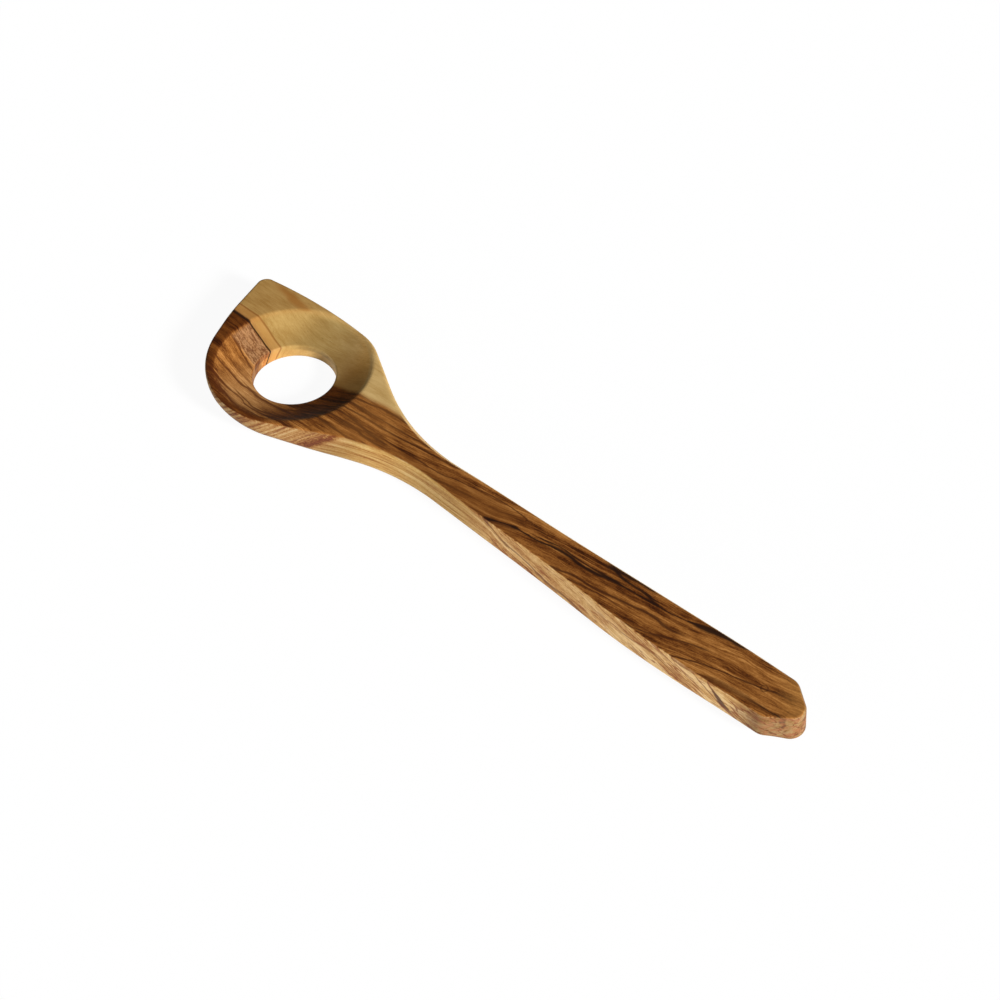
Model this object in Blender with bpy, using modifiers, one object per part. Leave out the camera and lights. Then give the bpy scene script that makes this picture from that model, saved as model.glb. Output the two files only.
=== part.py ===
"""Risotto spoon, carved from one plank of olive wood.

A flat spatula head with one pointed corner and one round side carries a shallow turned dish
with a hole through its middle. A slim neck widens into a long grip with a blunt arched end.
Metres, +Z up, +X toward the handle's end, +Y toward the side of the pointed corner. The spoon
lies on z = 0, with the origin under the middle of its box.
"""

import math

import bmesh
import bpy
from mathutils import Vector

# Dish and hole, turned about one axis, with a soft rim. Every station below is measured along +X
# from that axis, and every side from the spoon's centre line.
DISH_RADIUS = 0.0320
DISH_DEPTH = 0.0081
DISH_SIDE = 0.0015
DISH_RIM_ROUND = 0.0034
HOLE_RADIUS = 0.0166
HOLE_LIP_ROUND = 0.0010

# Head outline: where its sides would meet, and how far each corner is rounded.
POINT_STATION = -0.0479
POINT_SIDE = 0.0295
POINT_ROUND = 0.0042
STRAIGHT_SIDE_STATION = -0.0167
STRAIGHT_SIDE = 0.0344
STRAIGHT_SIDE_BOW = 0.2050
SHOULDER_STATION = 0.0142
SHOULDER_SIDE = 0.0320
SHOULDER_ROUND = 0.0260
TIP_STATION = -0.0412
TIP_SIDE = 0.0052
TIP_BOW = 0.1000
CHEEK_STATION = -0.0287
CHEEK_SIDE = -0.0244
CHEEK_ROUND = 0.0415
JAW_STATION = 0.0024
JAW_SIDE = -0.0359
JAW_ROUND = 0.0340

# Handle outline: its widths, and how far each is off the centre line, because it is cut by hand.
NECK_STATION = 0.0606
NECK_WIDTH = 0.0114
NECK_SHIFT = -0.0003
NECK_BOW = 0.0960
MIDDLE_STATION = 0.1400
MIDDLE_WIDTH = 0.0155
MIDDLE_SHIFT = 0.0001
MIDDLE_BOW = 1.2000
GRIP_POINTED_STATION = 0.2200
GRIP_ROUND_STATION = 0.1930
GRIP_WIDTH = 0.0219
GRIP_SHIFT = 0.0006
GRIP_BOW = 0.6000
END_STATION = 0.2424
END_WIDTH = 0.0206
END_SHIFT = 0.0015
END_ROUND = 0.0060
PEAK_STATION = 0.2556
PEAK_SIDE = 0.0015
PEAK_ROUND = 0.0054

# The handle's end leans out on its way down.
END_LEAN = 0.0011

# Thickness: the flat top climbs from the head to the grip, and the back rests on both of them.
HEAD_THICKNESS = 0.0120
GRIP_THICKNESS = 0.0135
HEAD_REST_END = 0.0250
GRIP_REST_START = 0.1350
GRIP_REST_END = 0.1650
NECK_RELIEF = 0.0005
END_LIFT = 0.0029

# Edges: the top edge is broken, most at the neck. The back is full under the head, like the back
# of any spoon, and has upright walls with rounded lower edges under the handle.
TOP_EDGE_ROUND = 0.0010
NECK_EDGE_ROUND = 0.0024
HEAD_WALL = 0.0017
HEAD_BACK_INSET = 0.0168
HANDLE_BACK_HEIGHT = 0.0024
HANDLE_BACK_INSET = 0.0027
BACK_BLEND_START = -0.0100
BACK_BLEND_END = 0.0500
MOST_INSET_SHARE = 0.8

# Fineness of the facets.
LONGEST_STEP = 0.0040
ARC_STEP = math.radians(12.0)
TOP_EDGE_STEPS = 2
BACK_STEPS = 7
SOLE_CUTS = 30
DISH_STEPS = 7
RIM_STEPS = 4
RIM_START = math.radians(4.5)
LIP_STEPS = 3
SHARP_ANGLE = math.radians(40.0)
TURN_STEPS = 72

# The cutter stands this far past both faces of the wood, and points this near are one.
CUTTER_PAST = 0.0040
SAME_POINT = 0.000001


def clear_scene():
    for old in list(bpy.data.objects):
        bpy.data.objects.remove(old, do_unlink=True)


def new_collection(name):
    collection = bpy.data.collections.new(name)
    bpy.context.scene.collection.children.link(collection)
    return collection


def mix(start, end, share):
    return start + (end - start) * share


def smooth_step(value, start, end):
    """0 before start, 1 after end, and an even S between them."""
    share = min(max((value - start) / (end - start), 0.0), 1.0)
    return share * share * (3.0 - 2.0 * share)


def handle_side(shift, width, sign):
    """How far one side of the handle lies from the centre line."""
    return shift + sign * width / 2


def outline_corners():
    """The corners seen from above, anticlockwise from the handle's end: station, side, rounding."""
    return [
        (PEAK_STATION, PEAK_SIDE, PEAK_ROUND),
        (END_STATION, handle_side(END_SHIFT, END_WIDTH, 1), END_ROUND),
        (GRIP_POINTED_STATION, handle_side(GRIP_SHIFT, GRIP_WIDTH, 1), GRIP_BOW),
        (MIDDLE_STATION, handle_side(MIDDLE_SHIFT, MIDDLE_WIDTH, 1), MIDDLE_BOW),
        (NECK_STATION, handle_side(NECK_SHIFT, NECK_WIDTH, 1), NECK_BOW),
        (SHOULDER_STATION, SHOULDER_SIDE, SHOULDER_ROUND),
        (STRAIGHT_SIDE_STATION, STRAIGHT_SIDE, STRAIGHT_SIDE_BOW),
        (POINT_STATION, POINT_SIDE, POINT_ROUND),
        (TIP_STATION, TIP_SIDE, TIP_BOW),
        (CHEEK_STATION, CHEEK_SIDE, CHEEK_ROUND),
        (JAW_STATION, JAW_SIDE, JAW_ROUND),
        (NECK_STATION, handle_side(NECK_SHIFT, NECK_WIDTH, -1), NECK_BOW),
        (MIDDLE_STATION, handle_side(MIDDLE_SHIFT, MIDDLE_WIDTH, -1), MIDDLE_BOW),
        (GRIP_ROUND_STATION, handle_side(GRIP_SHIFT, GRIP_WIDTH, -1), GRIP_BOW),
        (END_STATION, handle_side(END_SHIFT, END_WIDTH, -1), END_ROUND),
    ]


def arc_reaches(corners, rounds):
    """How far each arc reaches along its two sides. Arcs that would meet share the side out."""
    count = len(corners)
    wanted = []
    for index, corner in enumerate(corners):
        back = corners[index - 1] - corner
        ahead = corners[(index + 1) % count] - corner
        wanted.append(rounds[index] / math.tan(back.angle(ahead) / 2))
    fits = []
    for index, corner in enumerate(corners):
        following = (index + 1) % count
        length = (corners[following] - corner).length
        fits.append(min(1.0, length / (wanted[index] + wanted[following])))
    return [reach * min(fits[index - 1], fits[index]) for index, reach in enumerate(wanted)]


def outline():
    """The closed outline, with an arc at each corner and steps short enough to loft."""
    corners = [Vector(corner[:2]) for corner in outline_corners()]
    reaches = arc_reaches(corners, [corner[2] for corner in outline_corners()])
    path = []
    for index, corner in enumerate(corners):
        back = (corners[index - 1] - corner).normalized()
        ahead = (corners[(index + 1) % len(corners)] - corner).normalized()
        start = corner + back * reaches[index]
        half_angle = back.angle(ahead) / 2
        centre = corner + (back + ahead).normalized() * (reaches[index] / math.cos(half_angle))
        radius = (start - centre).length
        turn = math.copysign(math.pi - 2 * half_angle, ahead.cross(back))
        first = math.atan2(start.y - centre.y, start.x - centre.x)
        if path:
            path += between(path[-1], start)
        steps = math.ceil(max(abs(turn) / ARC_STEP, abs(turn) * radius / LONGEST_STEP))
        for step in range(steps + 1):
            angle = first + turn * step / steps
            path.append(centre + radius * Vector((math.cos(angle), math.sin(angle))))
    return path + between(path[-1], path[0])


def between(start, end):
    """Points on a straight stretch, without its two ends."""
    steps = math.ceil((end - start).length / LONGEST_STEP)
    return [start.lerp(end, step / steps) for step in range(1, steps)]


def inward_normals(path):
    """The level direction into the wood at each point of the outline."""
    normals = []
    for index in range(len(path)):
        along = path[(index + 1) % len(path)] - path[index - 1]
        normals.append(Vector((-along.y, along.x)).normalized())
    return normals


def top_slope():
    return (GRIP_THICKNESS - HEAD_THICKNESS) / GRIP_REST_START


def top_height(station):
    """Height of the flat top above the table."""
    return HEAD_THICKNESS + top_slope() * station


def back_height(station):
    """Height of the back above the table: the spoon rests on its head and its grip only."""
    rise = smooth_step(station, HEAD_REST_END, NECK_STATION)
    fall = smooth_step(station, NECK_STATION, GRIP_REST_START)
    return NECK_RELIEF * (rise - fall) + END_LIFT * smooth_step(station, GRIP_REST_END, END_STATION)


def top_edge_round(station, wall):
    """The broken edge's radius, fullest where the neck is slimmest, and within its wall."""
    flare = smooth_step(station, SHOULDER_STATION, NECK_STATION)
    fade = smooth_step(station, NECK_STATION, 2 * NECK_STATION - SHOULDER_STATION)
    return min(mix(TOP_EDGE_ROUND, NECK_EDGE_ROUND, flare - fade), MOST_INSET_SHARE * wall)


def edge_section(point, inward):
    """The edge cut across at one point of the outline: points from the flat top to the sole."""
    top = top_height(point.x)
    thickness = top - back_height(point.x)
    blend = smooth_step(point.x, BACK_BLEND_START, BACK_BLEND_END)
    wall = mix(HEAD_WALL, thickness - HANDLE_BACK_HEIGHT, blend)
    edge = top_edge_round(point.x, wall)
    to_spine = Vector((min(max(point.x, 0.0), END_STATION), 0.0)) - point
    inset = min(mix(HEAD_BACK_INSET, HANDLE_BACK_INSET, blend), MOST_INSET_SHARE * to_spine.length)
    foot = point - inward * END_LEAN * smooth_step(point.x, END_STATION, PEAK_STATION)
    section = []
    for step in range(TOP_EDGE_STEPS + 1):
        angle = math.pi / 2 * step / TOP_EDGE_STEPS
        place = point + inward * edge * (1 - math.sin(angle))
        section.append((place.x, place.y, top - edge * (1 - math.cos(angle))))
    for step in range(BACK_STEPS + 1):
        angle = math.pi / 2 * step / BACK_STEPS
        place = foot + to_spine.normalized() * inset * (1 - math.cos(angle))
        section.append((place.x, place.y, top - mix(wall, thickness, math.sin(angle))))
    return section


def edge_rings():
    """Closed rings of places round the spoon, from the top face's edge to the sole's."""
    path = outline()
    sections = [edge_section(point, inward) for point, inward in zip(path, inward_normals(path))]
    return list(zip(*sections))


def carved_body():
    """The solid without its dish: a loft of rings from the top face's edge to the sole's."""
    shape = bmesh.new()
    rings = [[shape.verts.new(place) for place in ring] for ring in edge_rings()]
    shape.faces.new(rings[0])
    for upper, lower in zip(rings, rings[1:]):
        for index in range(len(upper)):
            following = (index + 1) % len(upper)
            shape.faces.new((upper[index], lower[index], lower[following], upper[following]))
    shape.faces.new(reversed(rings[-1]))
    cut_sole(shape)
    mesh = bpy.data.meshes.new("spoon")
    shape.to_mesh(mesh)
    shape.free()
    mesh.shade_smooth()
    mesh.set_sharp_from_angle(angle=SHARP_ANGLE)
    return mesh


def cut_sole(shape):
    """Edges straight across the sole, so that it follows the back's height along the handle."""
    shape.faces.ensure_lookup_table()
    sole = [shape.faces[-1]]
    for cut in range(SOLE_CUTS + 1):
        station = mix(HEAD_REST_END, END_STATION, cut / SOLE_CUTS)
        rest = [face for face in sole if face.calc_center_median().x > station - LONGEST_STEP]
        geometry = set(rest)
        for face in rest:
            geometry.update(face.edges)
            geometry.update(face.verts)
        made = bmesh.ops.bisect_plane(
            shape, geom=list(geometry), dist=SAME_POINT, plane_co=(station, 0, 0), plane_no=(1, 0, 0))
        sole = [part for part in made["geom"] if isinstance(part, bmesh.types.BMFace)]


def dish_profile():
    """Half section of the cutter, from its top down: radius, and height above the flat top."""
    ball_radius = (DISH_RADIUS ** 2 + DISH_DEPTH ** 2) / (2 * DISH_DEPTH)
    ball_height = ball_radius - DISH_DEPTH
    rim_height = ball_height + DISH_RIM_ROUND
    rim_radius = math.sqrt((ball_radius + DISH_RIM_ROUND) ** 2 - rim_height ** 2)
    first = math.atan2(rim_radius, rim_height)
    lip_radius = HOLE_RADIUS + HOLE_LIP_ROUND
    last = math.asin(lip_radius / (ball_radius + HOLE_LIP_ROUND))
    upper_lip = ball_height - (ball_radius + HOLE_LIP_ROUND) * math.cos(last)
    lower_lip = HOLE_LIP_ROUND - HEAD_THICKNESS
    outer = rim_radius + DISH_RIM_ROUND
    profile = [(0.0, CUTTER_PAST), (outer, CUTTER_PAST),
               (outer, DISH_RIM_ROUND * math.tan(RIM_START))]
    for step in range(RIM_STEPS + 1):
        angle = mix(RIM_START, first, step / RIM_STEPS)
        profile.append((rim_radius - DISH_RIM_ROUND * math.sin(angle),
                        DISH_RIM_ROUND * (math.cos(angle) - 1)))
    for step in range(1, DISH_STEPS + 1):
        angle = mix(first, last, step / DISH_STEPS)
        profile.append((ball_radius * math.sin(angle), ball_height - ball_radius * math.cos(angle)))
    for step in range(1, LIP_STEPS + 1):
        angle = mix(last, math.pi / 2, step / LIP_STEPS)
        profile.append((lip_radius - HOLE_LIP_ROUND * math.sin(angle),
                        upper_lip + HOLE_LIP_ROUND * math.cos(angle)))
    for step in range(LIP_STEPS + 1):
        angle = math.pi / 2 * (1 - step / LIP_STEPS)
        profile.append((lip_radius - HOLE_LIP_ROUND * math.sin(angle),
                        lower_lip - HOLE_LIP_ROUND * math.cos(angle)))
    bottom = -HEAD_THICKNESS - CUTTER_PAST
    return profile + [(lip_radius, bottom), (0.0, bottom)]


def dish_cutter():
    """The dish and its hole as one turned solid, a Screw modifier on the half section."""
    mesh = bpy.data.meshes.new("dish_cutter")
    places = [(radius, 0.0, height) for radius, height in dish_profile()]
    mesh.from_pydata(places, [(index, index + 1) for index in range(len(places) - 1)], [])
    cutter = bpy.data.objects.new("dish_cutter", mesh)
    turned = cutter.modifiers.new("turned", "SCREW")
    turned.axis = "Z"
    turned.steps = TURN_STEPS
    turned.render_steps = TURN_STEPS
    turned.use_merge_vertices = True
    turned.merge_threshold = SAME_POINT
    cutter.location = (0.0, DISH_SIDE, HEAD_THICKNESS)
    cutter.rotation_euler.y = -math.atan(top_slope())
    cutter.hide_render = True
    cutter.display_type = "WIRE"
    return cutter


def olive_wood():
    material = bpy.data.materials.new("olive_wood")
    material.use_nodes = True
    shader = material.node_tree.nodes["Principled BSDF"]
    shader.inputs["Base Color"].default_value = (0.33, 0.17, 0.06, 1.0)
    shader.inputs["Roughness"].default_value = 0.5
    shader.inputs["Metallic"].default_value = 0.0
    return material


def box_middle():
    """The middle of the spoon's box seen from above, which stands over the object's origin."""
    places = [place for ring in edge_rings() for place in ring]
    across = [place[0] for place in places]
    aside = [place[1] for place in places]
    return Vector(((min(across) + max(across)) / 2, (min(aside) + max(aside)) / 2, 0.0))


def build():
    clear_scene()
    parts = new_collection("risotto_spoon")
    cutters = new_collection("cutters")
    dish_axis = bpy.data.objects.new("dish_axis", None)
    dish_axis.location = -box_middle()
    parts.objects.link(dish_axis)
    cutter = dish_cutter()
    cutter.parent = dish_axis
    cutters.objects.link(cutter)
    spoon = bpy.data.objects.new("spoon", carved_body())
    spoon.data.materials.append(olive_wood())
    spoon.parent = dish_axis
    parts.objects.link(spoon)
    dish = spoon.modifiers.new("dish_and_hole", "BOOLEAN")
    dish.operation = "DIFFERENCE"
    dish.solver = "EXACT"
    dish.object = cutter


build()
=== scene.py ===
import math

import bmesh
import bpy
from mathutils import Euler, Matrix, Vector


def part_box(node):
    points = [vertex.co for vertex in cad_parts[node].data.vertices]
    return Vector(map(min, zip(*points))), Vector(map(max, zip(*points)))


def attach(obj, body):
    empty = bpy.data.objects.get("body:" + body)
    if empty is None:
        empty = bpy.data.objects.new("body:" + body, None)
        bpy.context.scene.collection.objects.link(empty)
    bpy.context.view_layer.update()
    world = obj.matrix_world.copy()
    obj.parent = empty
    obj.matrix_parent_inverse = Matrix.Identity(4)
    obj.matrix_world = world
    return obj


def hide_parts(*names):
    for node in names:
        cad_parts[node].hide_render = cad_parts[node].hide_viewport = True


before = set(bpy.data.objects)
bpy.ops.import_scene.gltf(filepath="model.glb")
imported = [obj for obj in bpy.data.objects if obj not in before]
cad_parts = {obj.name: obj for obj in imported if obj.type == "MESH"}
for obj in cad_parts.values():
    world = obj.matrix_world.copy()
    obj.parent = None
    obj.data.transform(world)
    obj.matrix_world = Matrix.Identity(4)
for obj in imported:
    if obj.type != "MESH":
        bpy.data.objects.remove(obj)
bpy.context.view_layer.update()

# Risotto spoon. A flat olive wood spatula with one pointed corner, a shallow round dish pierced by
# a hole, a slim neck and a long grip, sawn from one plank, turned, carved and sanded, then oiled.
# Stations run along +X from the dish's axis and sides from the centre line, in metres.

# The turned dish and its hole.
DISH_RADIUS = 0.0320
DISH_DEPTH = 0.0081
DISH_SIDE = 0.0015
RIM_ROUND = 0.0034
HOLE_RADIUS = 0.0166
HOLE_LIP_ROUND = 0.0010

# The plank's thickness, the stretches where the back lies on the table, and the lift between them.
HEAD_THICKNESS = 0.0120
GRIP_THICKNESS = 0.0135
HEAD_REST_END = 0.0250
GRIP_REST_START = 0.1350
GRIP_REST_END = 0.1650
NECK_STATION = 0.0606
SHOULDER_STATION = 0.0142
END_STATION = 0.2424
PEAK_STATION = 0.2556
NECK_RELIEF = 0.0005
END_LIFT = 0.0029
END_LEAN = 0.0011
TOP_SLOPE = (GRIP_THICKNESS - HEAD_THICKNESS) / GRIP_REST_START

# Where the outline's sides would meet, anticlockwise from the handle's end: station, side and
# rounding.
OUTLINE_CORNERS = (
    (PEAK_STATION, 0.0015, 0.0054),
    (END_STATION, 0.0118, 0.0060),
    (0.2200, 0.01155, 0.6000),
    (0.1400, 0.00785, 1.2000),
    (NECK_STATION, 0.0054, 0.0960),
    (SHOULDER_STATION, 0.0320, 0.0260),
    (-0.0167, 0.0344, 0.2050),
    (-0.0479, 0.0295, 0.0042),
    (-0.0412, 0.0052, 0.1000),
    (-0.0287, -0.0244, 0.0415),
    (0.0024, -0.0359, 0.0340),
    (NECK_STATION, -0.0060, 0.0960),
    (0.1400, -0.00765, 1.2000),
    (0.1930, -0.01035, 0.6000),
    (END_STATION, -0.0088, 0.0060),
)

# The edge: its broken corner on top, its wall, and the curve from there under to the flat back.
TOP_EDGE_ROUND = 0.0010
NECK_EDGE_ROUND = 0.0024
HEAD_WALL = 0.0017
HEAD_BACK_INSET = 0.0168
HANDLE_BACK_HEIGHT = 0.0024
HANDLE_BACK_INSET = 0.0027
BACK_BLEND_START = -0.0100
BACK_BLEND_END = 0.0500
MOST_INSET_SHARE = 0.8
FLAT_MARGIN = 0.0004

# How finely the mesh follows the curves.
LONGEST_STEP = 0.0012
ARC_STEP = math.radians(5.0)
TOP_EDGE_STEPS = 6
BACK_STEPS = 16
SOLE_CUTS = 90
DISH_STEPS = 24
RIM_STEPS = 8
LIP_STEPS = 8
TURN_STEPS = 192
RIM_START = math.radians(1.5)
CUTTER_PAST = 0.0040
SAME_POINT = 0.000001


def mix(start, end, share):
    return start + (end - start) * share


def smooth_step(value, start, end):
    share = min(max((value - start) / (end - start), 0.0), 1.0)
    return share * share * (3.0 - 2.0 * share)


def arc_reaches(corners, rounds):
    """How far each arc reaches along its two sides. Arcs that would meet share the side out."""
    count = len(corners)
    wanted = []
    for index, corner in enumerate(corners):
        back = corners[index - 1] - corner
        ahead = corners[(index + 1) % count] - corner
        wanted.append(rounds[index] / math.tan(back.angle(ahead) / 2))
    fits = []
    for index, corner in enumerate(corners):
        following = (index + 1) % count
        length = (corners[following] - corner).length
        fits.append(min(1.0, length / (wanted[index] + wanted[following])))
    return [reach * min(fits[index - 1], fits[index]) for index, reach in enumerate(wanted)]


def spin_corner(shape, before, corner, after, reach):
    """One rounded corner of the outline: its first point is spun into an arc."""
    back = (before - corner).normalized()
    ahead = (after - corner).normalized()
    start = corner + back * reach
    half_angle = back.angle(ahead) / 2
    centre = corner + (back + ahead).normalized() * (reach / math.cos(half_angle))
    turn = math.copysign(math.pi - 2 * half_angle, (corner - start).cross(after - start))
    radius = (start - centre).length
    first = shape.verts.new((start.x, start.y, 0.0))
    steps = math.ceil(max(abs(turn) / ARC_STEP, abs(turn) * radius / LONGEST_STEP))
    bmesh.ops.spin(
        shape, geom=[first], cent=(centre.x, centre.y, 0.0), axis=(0, 0, 1), angle=turn,
        steps=steps)
    return start, corner + ahead * reach


def vert_at(shape, place):
    """The vertex at a place on the outline."""
    return min(shape.verts, key=lambda vert: (vert.co.xy - place).length)


def outline_face(shape):
    """The top face as one polygon, its corners spun and its straight sides divided."""
    corners = [Vector(corner[:2]) for corner in OUTLINE_CORNERS]
    reaches = arc_reaches(corners, [corner[2] for corner in OUTLINE_CORNERS])
    ends = []
    for index, corner in enumerate(corners):
        after = corners[(index + 1) % len(corners)]
        ends.append(spin_corner(shape, corners[index - 1], corner, after, reaches[index]))
    for index, (first, last) in enumerate(ends):
        following = ends[(index + 1) % len(ends)][0]
        length = (following - last).length
        if length < SAME_POINT:
            continue
        side = shape.edges.new((vert_at(shape, last), vert_at(shape, following)))
        cuts = math.ceil(length / LONGEST_STEP) - 1
        if cuts:
            bmesh.ops.subdivide_edges(shape, edges=[side], cuts=cuts)
    bmesh.ops.remove_doubles(shape, verts=shape.verts[:], dist=SAME_POINT)
    face = bmesh.ops.contextual_create(shape, geom=shape.edges[:])["faces"][0]
    face.normal_update()
    if face.normal.z < 0:
        face.normal_flip()
    return face


def top_height(station):
    return HEAD_THICKNESS + TOP_SLOPE * station


def back_height(station):
    """Height of the back above the table: the spoon rests on its head and its grip only."""
    rise = smooth_step(station, HEAD_REST_END, NECK_STATION)
    fall = smooth_step(station, NECK_STATION, GRIP_REST_START)
    return NECK_RELIEF * (rise - fall) + END_LIFT * smooth_step(station, GRIP_REST_END, END_STATION)


def top_edge_round(station, wall):
    """The broken edge's radius, fullest where the neck is slimmest, and within its wall."""
    flare = smooth_step(station, SHOULDER_STATION, NECK_STATION)
    fade = smooth_step(station, NECK_STATION, 2 * NECK_STATION - SHOULDER_STATION)
    return min(mix(TOP_EDGE_ROUND, NECK_EDGE_ROUND, flare - fade), MOST_INSET_SHARE * wall)


def edge_section(point, inward):
    """The edge cut across at one point of the outline: places from the flat top to the sole."""
    top = top_height(point.x)
    thickness = top - back_height(point.x)
    blend = smooth_step(point.x, BACK_BLEND_START, BACK_BLEND_END)
    wall = mix(HEAD_WALL, thickness - HANDLE_BACK_HEIGHT, blend)
    edge = top_edge_round(point.x, wall)
    to_spine = Vector((min(max(point.x, 0.0), END_STATION), 0.0)) - point
    inset = min(mix(HEAD_BACK_INSET, HANDLE_BACK_INSET, blend), MOST_INSET_SHARE * to_spine.length)
    foot = point - inward * END_LEAN * smooth_step(point.x, END_STATION, PEAK_STATION)
    flat = point + inward * (edge + FLAT_MARGIN)
    section = [Vector((flat.x, flat.y, top))]
    for step in range(TOP_EDGE_STEPS + 1):
        angle = math.pi / 2 * step / TOP_EDGE_STEPS
        place = point + inward * edge * (1 - math.sin(angle))
        section.append(Vector((place.x, place.y, top - edge * (1 - math.cos(angle)))))
    for step in range(BACK_STEPS + 1):
        angle = math.pi / 2 * step / BACK_STEPS
        place = foot + to_spine.normalized() * inset * (1 - math.cos(angle))
        section.append(Vector((place.x, place.y, top - mix(wall, thickness, math.sin(angle)))))
    return section


def carve_body(shape):
    """Extrudes the top face's border ring by ring, down the edge and under to the sole."""
    number = shape.verts.layers.int.new("place")
    border = outline_face(shape).verts[:]
    path = [vert.co.xy for vert in border]
    sections = []
    for index, point in enumerate(path):
        along = path[(index + 1) % len(path)] - path[index - 1]
        sections.append(edge_section(point, Vector((-along.y, along.x)).normalized()))
    for index, vert in enumerate(border):
        vert[number] = index
        vert.co = sections[index][0]
    ring = shape.edges[:]
    for step in range(1, len(sections[0])):
        made = bmesh.ops.extrude_edge_only(shape, edges=ring)["geom"]
        for vert in made:
            if isinstance(vert, bmesh.types.BMVert):
                vert.co = sections[vert[number]][step]
        ring = [edge for edge in made if isinstance(edge, bmesh.types.BMEdge) and edge.is_boundary]
    sole = bmesh.ops.contextual_create(shape, geom=ring)["faces"]
    bmesh.ops.recalc_face_normals(shape, faces=shape.faces[:])
    for cut in range(SOLE_CUTS + 1):
        station = mix(HEAD_REST_END, END_STATION, cut / SOLE_CUTS)
        rest = [face for face in sole if face.calc_center_median().x > station - LONGEST_STEP]
        parts = [part for face in rest for part in (face, *face.edges, *face.verts)]
        made = bmesh.ops.bisect_plane(
            shape, geom=list(dict.fromkeys(parts)), dist=SAME_POINT, plane_co=(station, 0, 0),
            plane_no=(1, 0, 0))
        sole = [part for part in made["geom"] if isinstance(part, bmesh.types.BMFace)]
    shape.verts.layers.int.remove(number)


def dish_profile():
    """Half section of the dish's cutter, from its top down: radius, and height above the top."""
    ball_radius = (DISH_RADIUS ** 2 + DISH_DEPTH ** 2) / (2 * DISH_DEPTH)
    ball_height = ball_radius - DISH_DEPTH
    rim_radius = math.sqrt((ball_radius + RIM_ROUND) ** 2 - (ball_height + RIM_ROUND) ** 2)
    rim_slope = math.atan2(rim_radius, ball_height + RIM_ROUND)
    lip_radius = HOLE_RADIUS + HOLE_LIP_ROUND
    last = math.asin(lip_radius / (ball_radius + HOLE_LIP_ROUND))
    upper_lip = ball_height - (ball_radius + HOLE_LIP_ROUND) * math.cos(last)
    lower_lip = HOLE_LIP_ROUND - HEAD_THICKNESS
    outer = rim_radius + RIM_ROUND
    profile = [(0.0, CUTTER_PAST), (outer, CUTTER_PAST),
               (outer, (outer - rim_radius) * math.tan(RIM_START))]
    for step in range(RIM_STEPS + 1):
        angle = mix(RIM_START, rim_slope, step / RIM_STEPS)
        profile.append((rim_radius - RIM_ROUND * math.sin(angle),
                        RIM_ROUND * (math.cos(angle) - 1)))
    for step in range(1, DISH_STEPS + 1):
        angle = mix(rim_slope, last, step / DISH_STEPS)
        profile.append((ball_radius * math.sin(angle), ball_height - ball_radius * math.cos(angle)))
    for step in range(1, LIP_STEPS + 1):
        angle = mix(last, math.pi / 2, step / LIP_STEPS)
        profile.append((lip_radius - HOLE_LIP_ROUND * math.sin(angle),
                        upper_lip + HOLE_LIP_ROUND * math.cos(angle)))
    for step in range(LIP_STEPS + 1):
        angle = math.pi / 2 * (1 - step / LIP_STEPS)
        profile.append((lip_radius - HOLE_LIP_ROUND * math.sin(angle),
                        lower_lip - HOLE_LIP_ROUND * math.cos(angle)))
    bottom = -HEAD_THICKNESS - CUTTER_PAST
    return profile + [(lip_radius, bottom), (0.0, bottom)]


def turn_dish_cutter(shape):
    """The dish and its hole as one turned solid, square to the sloping top."""
    places = [shape.verts.new((radius, 0.0, height)) for radius, height in dish_profile()]
    for upper, lower in zip(places, places[1:]):
        shape.edges.new((upper, lower))
    bmesh.ops.spin(
        shape, geom=shape.verts[:] + shape.edges[:], cent=(0, 0, 0), axis=(0, 0, 1),
        angle=2 * math.pi, steps=TURN_STEPS, use_merge=True)
    bmesh.ops.remove_doubles(shape, verts=shape.verts[:], dist=SAME_POINT)
    bmesh.ops.recalc_face_normals(shape, faces=shape.faces[:])
    square_to_top = Matrix.Rotation(-math.atan(TOP_SLOPE), 4, "Y")
    bmesh.ops.transform(
        shape, matrix=Matrix.Translation((0.0, DISH_SIDE, HEAD_THICKNESS)) @ square_to_top,
        verts=shape.verts[:])


def object_from(shape, name):
    mesh = bpy.data.meshes.new(name)
    shape.to_mesh(mesh)
    shape.free()
    piece = bpy.data.objects.new(name, mesh)
    bpy.context.scene.collection.objects.link(piece)
    return piece


spoon_shape = bmesh.new()
carve_body(spoon_shape)
body_low = [min(vert.co[axis] for vert in spoon_shape.verts) for axis in range(2)]
body_high = [max(vert.co[axis] for vert in spoon_shape.verts) for axis in range(2)]
box_low, box_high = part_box("spoon")
dish_place = Vector((
    (box_low.x + box_high.x - body_low[0] - body_high[0]) / 2,
    (box_low.y + box_high.y - body_low[1] - body_high[1]) / 2,
    0.0))
cutter_shape = bmesh.new()
turn_dish_cutter(cutter_shape)
for shape in (spoon_shape, cutter_shape):
    bmesh.ops.translate(shape, verts=shape.verts[:], vec=dish_place)
spoon = object_from(spoon_shape, "carved_spoon")
cutter = object_from(cutter_shape, "dish_cutter")
dish = spoon.modifiers.new("dish_and_hole", "BOOLEAN")
dish.operation = "DIFFERENCE"
dish.solver = "EXACT"
dish.object = cutter
carved = bpy.data.meshes.new_from_object(spoon.evaluated_get(bpy.context.evaluated_depsgraph_get()))
spoon.modifiers.remove(dish)
spoon.data = carved
carved.shade_smooth()
bpy.data.objects.remove(cutter, do_unlink=True)


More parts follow.
